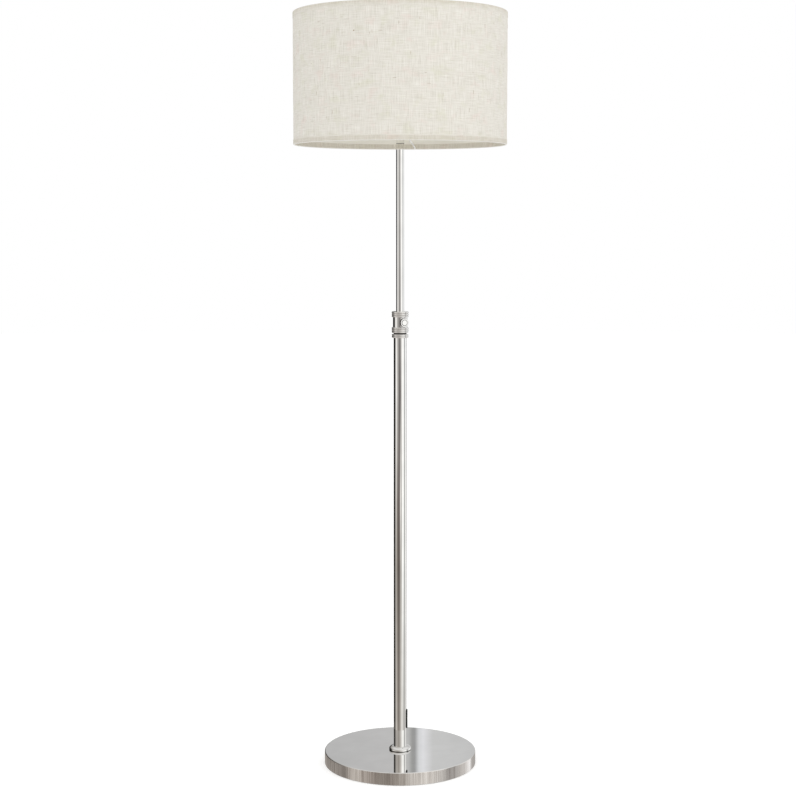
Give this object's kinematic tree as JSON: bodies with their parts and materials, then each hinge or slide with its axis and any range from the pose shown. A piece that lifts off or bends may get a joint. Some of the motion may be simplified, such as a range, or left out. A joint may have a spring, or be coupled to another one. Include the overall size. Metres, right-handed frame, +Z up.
{
  "type": "telescopic floor lamp",
  "caption": "Floor lamp with a round weighted foot, a two-part telescopic stem locked by a side thumb screw, and a drum shade of linen on a screw-cap lampholder.",
  "frame": {"origin": "bottom centre of the foot, on the floor", "axes": "+Z up along the stem, -Y towards the front from which the lamp is looked at, +X to the viewer's right, where the cord gland is"},
  "size_m": [0.4203, 0.4204, 1.504],
  "materials": {
    "chrome_plate": "polished",
    "zinc_steel": "satin",
    "cast_iron_weight": "matte",
    "felt_pad": "matte",
    "black_plastic": "satin",
    "nylon": "satin",
    "brass_part": "satin",
    "holder_plastic": "satin",
    "porcelain": "gloss",
    "bulb_cap_metal": "satin",
    "bulb_black_glass": "gloss",
    "opal_glass": "satin",
    "linen": "matte",
    "shade_film": "satin",
    "white_wire": "satin"
  },
  "bodies": {
    "stand": {"base_cover": "chrome_plate", "base_weight": "cast_iron_weight", "base_pad": "felt_pad", "base_stud": "zinc_steel", "base_washer": "zinc_steel", "base_nut": "zinc_steel", "foot_plug": "zinc_steel", "foot_ring": "chrome_plate", "lower_tube": "chrome_plate", "cord_gland": "black_plastic", "ferrule": "chrome_plate", "collar": "chrome_plate", "collar_liner": "nylon"},
    "guide": {"guide_bush": "nylon"},
    "head": {"upper_tube": "chrome_plate", "tube_end_plug": "black_plastic", "tube_cap": "chrome_plate", "nipple": "brass_part", "holder_cap": "holder_plastic", "holder_grub_screw": "zinc_steel", "holder_body": "holder_plastic", "shade_clamp_ring": "holder_plastic", "holder_insert": "porcelain", "screw_shell": "brass_part", "centre_contact": "brass_part", "side_contact": "brass_part", "terminal_blocks": "brass_part", "terminal_screws": "zinc_steel", "bulb_contact": "bulb_cap_metal", "bulb_insulator": "bulb_black_glass", "bulb_cap": "bulb_cap_metal", "bulb_globe": "opal_glass", "shade_linen": "linen", "shade_liner": "shade_film", "shade_spider": "white_wire", "shade_ring_bottom": "white_wire", "shade_ring_top": "white_wire", "shade_hem_bottom": "linen", "shade_hem_top": "linen"},
    "screw_tip": {"pressure_pad": "brass_part"},
    "thumb_screw": {"screw_knob": "chrome_plate", "screw_shank": "zinc_steel", "knob_disc": "chrome_plate"}
  },
  "joints": [
    {"name": "stem_slide", "type": "slide", "parent": "stand", "child": "guide", "axis": [0, 0, 1], "range_m": [-0.3375, 0.3]},
    {"name": "stem_swivel", "type": "hinge", "parent": "guide", "child": "head", "pos_m": [0, 0, 0.53], "axis": [0, 0, 1], "range_deg": [-170, 170]},
    {"name": "tip_advance", "type": "slide", "parent": "stand", "child": "screw_tip", "axis": [0.454, -0.891, 0], "range_m": [0, 0.002]},
    {"name": "screw_turn", "type": "hinge", "parent": "screw_tip", "child": "thumb_screw", "pos_m": [0, 0, 0.89825], "axis": [0.454, -0.891, 0], "range_deg": [0, 720]}
  ],
  "couplings": [
    {"joint": "screw_turn", "follows": "tip_advance", "rad_per_m": 6283.2}
  ]
}
